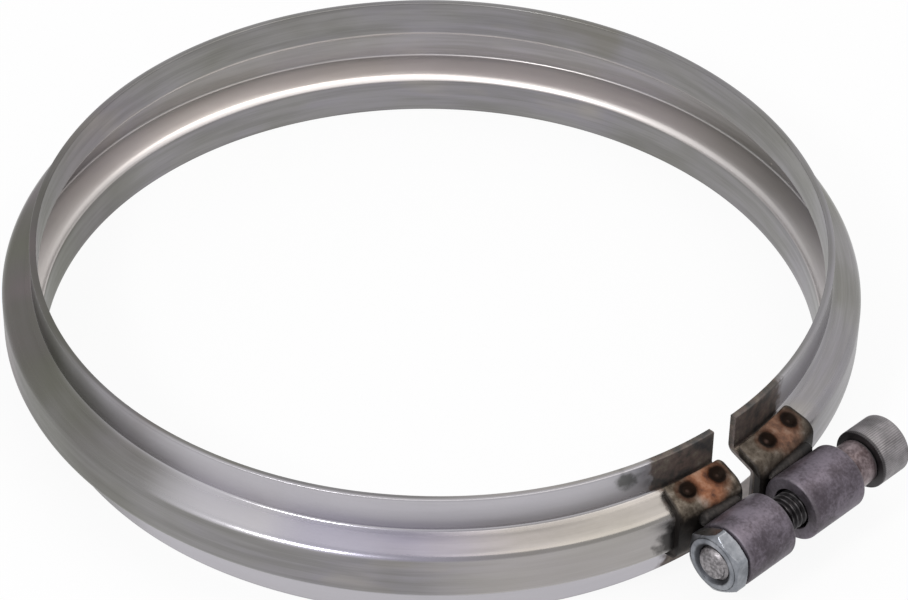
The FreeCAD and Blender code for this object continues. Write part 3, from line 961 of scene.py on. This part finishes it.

# %% [markdown]
# The whole finish lays one colour over another: rolled strip, a painted darker reflection,
# painted highlights and reflections, painted light inside the V, burnt places with a painted
# shadow, and a darker line along the edges.  Streaks and heat change its roughness too.

# %% Ring finish
def ring_steel():
    graph = Graph("ring_steel")
    place = graph.coordinates()
    x, y, z = graph.parts(place)
    radius = graph.length(x, y)
    around, level = (x / radius, y / radius), z + radius
    fine = drawn_out(graph, around, level, 5.0, 5200.0)
    broad = drawn_out(graph, around, level, 3.0, 620.0)
    patches = graph.noise(place, 34.0, 2.0)
    speck = graph.noise(place, 420.0, 3.0)
    grain = graph.noise(place, 900.0, 3.0)
    streak = graph.step(broad, 0.35, 0.68)
    ground, inside, lip = section_masks(graph, radius, z)
    lower = graph.step(z, MM, -MM)
    # painted darker reflection, olive to brown, on the stretch far from the bolt
    dark_reflection = graph.step(towards(OLIVE_SIDE, around) + (patches - 0.5) * 0.3, 0.62, 1.0)
    heat = heat_mask(graph, x, y, patches, speck, lip, lower)
    colour = rolled_colour(graph, around, level, streak, fine, patches)
    colour = painted_dark_reflection(graph, colour, place, z, dark_reflection)
    # painted highlights and painted reflections on the faces
    colour = painted_reflections(graph, colour, around, ground, lip, dark_reflection)
    # painted light on the faces inside the V, which the ring itself shades
    colour = painted_light_in_v(graph, colour, around, z, inside, lower)
    colour = burns_and_saddle_shadow(graph, colour, place, heat * (0.92 - inside * 0.35), speck)
    # a thin darker line along the sheet's upper and lower edges
    edge = graph.step(abs(z), BAND_HALF_WIDTH - 0.6 * MM, BAND_HALF_WIDTH - 0.1 * MM)
    colour = graph.mix(edge * 0.22, colour, (0.068, 0.066, 0.065))
    burnish = burnished_bends(graph, radius, z) * ground
    rough = 0.30 + streak * 0.06 + grain * 0.06 + heat * 0.16 - burnish * 0.15
    normal = graph.bump(fine * 0.5 + broad * 0.5, 0.10, 0.04 * MM)
    normal = graph.bump(graph.noise(place, 60.0, 2.0), 0.20, 0.4 * MM, normal)
    return graph.finish(Base_Color=colour, Metallic=1.0 - heat * 0.35, Roughness=rough,
                        Normal=normal)


wear(ring, ring_steel())
print("ring finish:", ring.data.materials[0].name)

# %% [markdown]
# ## Heat-tinted saddles
#
# Welding turned the saddles straw and olive, and the scale has since rusted orange between
# the two craters.  Each crater is nearly black with soot.  The marks belong to exact places,
# so their masks are distances from the spot centres, and |z| serves both flanks at once.

# %% Saddle finish
RUSTING = {"nut_side": 0.92, "head_side": 0.50}


def saddle_steel(side_name):
    graph = Graph(side_name + "_saddle_steel")
    span, rusting = bracket_spans[side_name], RUSTING[side_name]
    place = graph.coordinates()
    x, y, z = graph.parts(place)
    folded = graph.vector(x, y, abs(z))
    mottle = graph.noise(place, 380.0, 5.0, 0.62)
    cloud = graph.noise(place, 150.0, 3.0)
    colour = graph.ramp(mottle, [
        (0.32, (0.018, 0.014, 0.010)),
        (0.44, (0.062, 0.049, 0.036)),
        (0.55, (0.129, 0.107, 0.084)),
        (0.68, (0.250, 0.223, 0.195)),
    ])
    colour = graph.mix((1.0 - rusting) * 0.8, colour, (0.048, 0.037, 0.029))
    centres, _ = spot_centres(span, SPOT_SHIFT[side_name])
    between = centres.mean(axis=0)
    near_rust = graph.distance(folded, between) + (cloud - 0.5) * (8.0 * MM)
    rust = graph.step(near_rust, 6.8 * MM, 2.6 * MM)
    rusty = graph.ramp(mottle, [
        (0.30, (0.064, 0.021, 0.010)),
        (0.50, (0.234, 0.087, 0.036)),
        (0.70, (0.338, 0.179, 0.106)),
    ])
    colour = graph.mix(rust * rusting, colour, rusty)
    soot = nugget = ring_mark = 0.0
    for centre in centres:
        away = graph.distance(folded, centre) + (mottle - 0.5) * (0.8 * MM)
        soot = graph.step(away, 2.4 * MM, 1.7 * MM) + soot
        nugget = graph.step(away, 0.8 * MM, 0.2 * MM) + nugget
        ring_mark = graph.step(away, 3.6 * MM, 2.1 * MM) + ring_mark
    colour = graph.mix(ring_mark * 0.60, colour, (0.056, 0.025, 0.017))
    colour = graph.mix(soot * 0.93, colour, (0.008, 0.006, 0.005))
    colour = graph.mix(nugget * 0.45, colour, (0.105, 0.068, 0.057))
    # painted shade on the saddle's web, where it meets the sleeve
    web_shade = graph.step(abs(z), 5.2 * MM, 3.4 * MM)
    colour = graph.mix(web_shade * 0.82, colour, (0.016, 0.014, 0.014))
    # painted shadow lines along the saddle's two ends, where they step down to the ring
    angle = graph.angle(y, x)
    for end in span:
        gap = abs(angle - end) * BRACKET_RADIUS + (mottle - 0.5) * (0.6 * MM)
        colour = graph.mix(graph.step(gap, 0.9 * MM, 0.2 * MM) * 0.75, colour,
                           (0.016, 0.014, 0.013))
    rough = 0.42 + mottle * 0.25 + rust * 0.2
    normal = graph.bump(mottle, 0.35, 0.12 * MM)
    metal = graph.clamped(0.75 - rust * 0.5 + soot + ring_mark * 0.5)
    return graph.finish(Base_Color=colour, Metallic=metal, Roughness=rough, Normal=normal)


for side_name, piece in brackets.items():
    wear(piece, saddle_steel(side_name))
print("saddle finishes:", len(brackets))

# %% [markdown]
# ## Phosphated sleeves, collar and welds
#
# Phosphate leaves a dull coat between grey and purple, a little patchy, worn to bare steel
# along the sleeves' rims; the collar's far rim is lighter with a painted highlight.  The rims
# are found by the distance along the bolt from each end.

# %% Phosphate finish
def phosphate(name, ends, dark, light, rough=0.5, rim=0.4):
    """Dull coat of two colours; rims at ends along y are lighter: wear, on the collar a painted
    highlight.
    """
    graph = Graph(name)
    place = graph.coordinates()
    x, y, z = graph.parts(place)
    cloud = graph.noise(place, 130.0, 4.0, 0.6)
    grain = graph.noise(place, 1500.0, 3.0)
    blend = graph.step(cloud * 0.7 + grain * 0.3, 0.36, 0.64)
    colour = graph.mix(blend, dark, light)
    colour = graph.mix(graph.step(graph.noise(place, 310.0, 4.0), 0.58, 0.72) * 0.4, colour,
                       tuple(0.45 * part for part in dark))
    rim_wear_and_highlight = 0.0
    # lighter rims: worn steel on the sleeves, a painted highlight on the collar's far rim
    for end in ends:
        gap = abs(y - end) + (cloud - 0.5) * (0.8 * MM)
        rim_wear_and_highlight = graph.step(gap, 0.9 * MM, 0.2 * MM) + rim_wear_and_highlight
    colour = graph.mix(rim_wear_and_highlight * rim, colour, (0.209, 0.199, 0.203))
    normal = graph.bump(grain, 0.30, 0.08 * MM)
    return graph.finish(Base_Color=colour, Metallic=0.7, Roughness=rough + cloud * 0.12,
                        Normal=normal)


SLEEVE_DARK = (0.058, 0.047, 0.057)
SLEEVE_LIGHT = (0.165, 0.142, 0.172)
for side_name, piece in sleeves.items():
    low, high = low_high(side_name + "_sleeve")
    wear(piece, phosphate(side_name + "_phosphate", (low[1], high[1]),
                          SLEEVE_DARK, SLEEVE_LIGHT, rough=0.42, rim=0.16))
# the collar's light far rim is a painted highlight
wear(collar, phosphate("collar_phosphate", (collar_high[1],),
                       (0.068, 0.046, 0.049), (0.266, 0.215, 0.223), rough=0.26, rim=0.8))
weld_coat = phosphate("weld_scale", (), (0.011, 0.010, 0.010), (0.044, 0.037, 0.034),
                      rough=0.48)
for bead in beads.values():
    wear(bead, weld_coat)
print("phosphate on", len(sleeves) + 1 + len(beads), "pieces")

# %% [markdown]
# ## Zinc and plain steel
#
# The nut is zinc plated: pale, cool and slightly cloudy, with painted shade in its countersunk
# mouth.  The screw is plain steel, with turning marks on its point and painted shade on its
# thread and under its head.  Both patterns use the distance from the bolt's axis.

# %% Nut and screw finish
KNURLS = 84.0


def zinc():
    graph = Graph("zinc_plate")
    place = graph.coordinates()
    x, y, z = graph.parts(place)
    away = graph.length(x - BOLT_X, z)
    cloud = graph.noise(place, 260.0, 4.0, 0.6)
    spangle = graph.noise(place, 900.0, 3.0)
    colour = graph.ramp(cloud, [
        (0.30, (0.121, 0.129, 0.146)),
        (0.50, (0.229, 0.240, 0.264)),
        (0.70, (0.354, 0.364, 0.395)),
    ])
    # painted shade in the countersunk mouth round the screw
    countersink_shade = graph.step(away + (cloud - 0.5) * (0.8 * MM), 5.1 * MM, 4.4 * MM)
    colour = graph.mix(countersink_shade * 0.85, colour, (0.036, 0.036, 0.041))
    rough = 0.22 + spangle * 0.16 + countersink_shade * 0.25
    normal = graph.bump(spangle, 0.18, 0.06 * MM)
    return graph.finish(Base_Color=colour, Metallic=1.0, Roughness=rough, Normal=normal)


def screw_steel():
    graph = Graph("screw_steel")
    place = graph.coordinates()
    x, y, z = graph.parts(place)
    away = graph.length(x - BOLT_X, z)
    cloud = graph.noise(place, 240.0, 4.0, 0.62)
    turning = graph.noise(graph.vector(away * 9000.0, y * 500.0, 0.0), 1.0, 2.0)
    colour = graph.ramp(cloud, [
        (0.30, (0.129, 0.121, 0.125)),
        (0.50, (0.229, 0.216, 0.223)),
        (0.70, (0.322, 0.306, 0.313)),
    ])
    tip = bolt_low[1]
    point = graph.step(y, tip + 1.3 * MM, tip + 0.3 * MM)
    colour = graph.mix(point * 0.75, colour, graph.ramp(graph.noise(place, 1400.0, 4.0), [
        (0.35, (0.089, 0.084, 0.089)),
        (0.65, (0.378, 0.359, 0.370)),
    ]))
    # painted shade on the thread in the gap between the sleeves, a little lighter on the crests
    thread_shade = (graph.step(y, tip + 1.0 * MM, tip + 1.8 * MM)
             * graph.step(away, 4.5 * MM, 4.1 * MM))
    crest = graph.step(away, 3.7 * MM, THREAD_RADIUS)
    colour = graph.mix(thread_shade * (0.90 - crest * 0.32), colour, (0.011, 0.010, 0.011))
    # painted shade under the head, beside the collar
    under = (graph.step(y, collar_end + 0.9 * MM, collar_end + 0.4 * MM)
             * graph.step(away, 4.2 * MM, 4.6 * MM))
    colour = graph.mix(under * 0.8, colour, (0.016, 0.014, 0.015))

    # straight knurling round the head
    turn = graph.angle(x - BOLT_X, z)
    ridges = turn.maths("SINE", turn * KNURLS)
    knurled = graph.step(away, 6.2 * MM, 6.5 * MM) * ridges
    colour = graph.mix(graph.step(knurled, 0.2, 1.0) * 0.35, colour, (0.072, 0.068, 0.071))
    rough = 0.36 + cloud * 0.12 + turning * 0.06
    normal = graph.bump(turning, 0.16, 0.05 * MM)
    normal = graph.bump(knurled, 0.35, 0.12 * MM, normal)
    return graph.finish(Base_Color=colour, Metallic=0.95, Roughness=rough, Normal=normal)


wear(nut, zinc())
wear(bolt, screw_steel())
print("nut and screw finished")

# %% [markdown]
# ## Floor, light and camera
#
# Bright metal shows its surroundings more than its own colour, so the room is the other half
# of the finish: a pale floor and a plain pale room, one large soft warm lamp overhead on the
# right, and a smaller one to the left of the camera, whose reflection draws the bright lines
# along the bends.

# %% Floor and room
CAMERA_AZIMUTH = 45.2
CAMERA_ELEVATION = 39.1
CAMERA_DISTANCE = 0.8
CAMERA_ROLL = 0.84
CAMERA_SHIFT = (0.0248, -0.0176)
FOCAL_LENGTH = 144.0
FLOOR_REACH = 3.0
FLOOR_GLOW = 0.92
WHITE = (1.0, 1.0, 1.0, 1.0)


def direction(azimuth, elevation):
    """Unit vector from the clamp towards a point that is azimuth degrees round from -Y
    towards +X and elevation degrees above the floor."""
    a, e = azimuth * DEGREE, elevation * DEGREE
    return Vector((math.sin(a) * math.cos(e), -math.cos(a) * math.cos(e), math.sin(e)))


def make_floor():
    """A large pale plane just under the lower lip."""
    mesh = bpy.data.meshes.new("floor")
    level = cad_low[2] - 0.1 * MM
    corners = [(x * FLOOR_REACH, y * FLOOR_REACH, level)
               for x, y in ((-1, -1), (1, -1), (1, 1), (-1, 1))]
    mesh.from_pydata(corners, [], [(0, 1, 2, 3)])
    graph = Graph("pale_floor")
    matt = graph.add("ShaderNodeBsdfDiffuse", inputs={"Color": (0.76, 0.76, 0.76, 1.0)})
    glow = graph.add("ShaderNodeEmission", inputs={"Color": WHITE})
    surface = graph.add("ShaderNodeMixShader",
                        inputs={0: graph.showing() * FLOOR_GLOW, 1: matt, 2: glow})
    graph.add("ShaderNodeOutputMaterial", inputs={"Surface": surface})
    mesh.materials.append(graph.owner)
    in_scene("floor", mesh)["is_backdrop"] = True


def make_room():
    """A plain room: white where it shows, and a little less as light on matt faces."""
    graph = Graph("room", world=True)
    seen = graph.add("ShaderNodeBackground", inputs={"Color": WHITE})
    felt = graph.add("ShaderNodeBackground", inputs={"Color": (0.965, 0.955, 1.0, 1.0),
                                                     "Strength": 0.82})
    surface = graph.add("ShaderNodeMixShader", inputs={0: graph.showing(), 1: felt, 2: seen})
    graph.add("ShaderNodeOutputWorld", inputs={"Surface": surface})
    bpy.context.scene.world = graph.owner


def lamp(name, azimuth, elevation, distance, size, watts, colour):
    """A square soft lamp that faces the clamp."""
    light = bpy.data.lights.new(name, "AREA")
    light.size = size
    light.energy = watts
    light.color = colour
    holder = in_scene(name, light)
    back = direction(azimuth, elevation)
    holder.location = back * distance
    holder.rotation_mode = "QUATERNION"
    holder.rotation_quaternion = back.to_track_quat("Z", "Y")


make_floor()
make_room()
lamp("beside_camera", 12.0, 42.0, 1.1, 0.18, 4.4, (1.0, 1.0, 1.0))
lamp("overhead_right", 135.0, 70.0, 1.1, 0.75, 3.3, (1.0, 0.95, 0.88))
print("floor, room and lamps made")

# %% Camera
def make_camera():
    """Looks at the ring's centre from the given side, with a slight roll and shift."""
    camera = bpy.data.cameras.new("camera")
    camera.sensor_width = 36.0
    camera.lens = FOCAL_LENGTH
    camera.shift_x, camera.shift_y = CAMERA_SHIFT
    camera.clip_start = 0.01
    back = direction(CAMERA_AZIMUTH, CAMERA_ELEVATION)
    right = Vector((0, 0, 1)).cross(back).normalized()
    turn = Matrix((right, back.cross(right), back)).transposed()
    turn = (turn @ Matrix.Rotation(CAMERA_ROLL * DEGREE, 3, "Z")).to_4x4()
    holder = in_scene("camera", camera)
    holder.matrix_world = Matrix.Translation(back * CAMERA_DISTANCE) @ turn
    bpy.context.scene.camera = holder
    bpy.context.scene.view_settings.view_transform = "Standard"


make_camera()
print("camera with a %.0f mm lens, %.1f m from the ring's centre" % (FOCAL_LENGTH, CAMERA_DISTANCE))

# %% Sizes and the end
low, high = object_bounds()
print("visual box %s to %s" % ([round(v, 4) for v in low], [round(v, 4) for v in high]))
